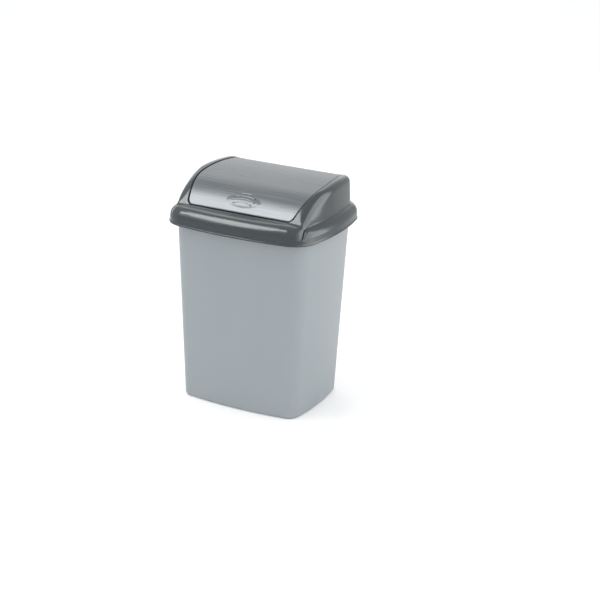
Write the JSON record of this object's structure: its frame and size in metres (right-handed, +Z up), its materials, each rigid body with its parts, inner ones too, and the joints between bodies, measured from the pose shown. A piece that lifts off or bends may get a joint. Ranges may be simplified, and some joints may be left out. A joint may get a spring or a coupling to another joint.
{
  "type": "swing-lid waste bin",
  "caption": "Tapered kitchen waste bin with bowed walls, a lift-off lid frame and a curved two-way swing flap with an oval push dish.",
  "frame": {"origin": "centre of the bin's footprint on the floor, at the foot rim's underside", "axes": "+Z up, -Y towards the front where the flap is pushed, +X to the user's right when facing the front"},
  "size_m": [0.345, 0.289, 0.4713],
  "materials": {
    "bucket_plastic": "satin silver-grey moulded plastic",
    "frame_plastic": "glossy anthracite moulded plastic",
    "flap_metallic": "silver metallic plastic with faint brushed streaks",
    "pin_plastic": "dark natural plastic"
  },
  "bodies": {
    "bin": {"bin_body": "bucket_plastic"},
    "lid": {"lid_frame": "frame_plastic"},
    "flap": {"swing_flap": "flap_metallic", "left_pivot_pin": "pin_plastic", "right_pivot_pin": "pin_plastic"}
  },
  "joints": [
    {"name": "lid_lift", "type": "slide", "parent": "bin", "child": "lid", "axis": [0, 0, 1], "range_m": [0, 0.12]},
    {"name": "flap_swing", "type": "hinge", "parent": "lid", "child": "flap", "pos_m": [0, -0.00411, 0.4618], "axis": [1, 0, 0], "range_deg": [-75, 80]}
  ]
}
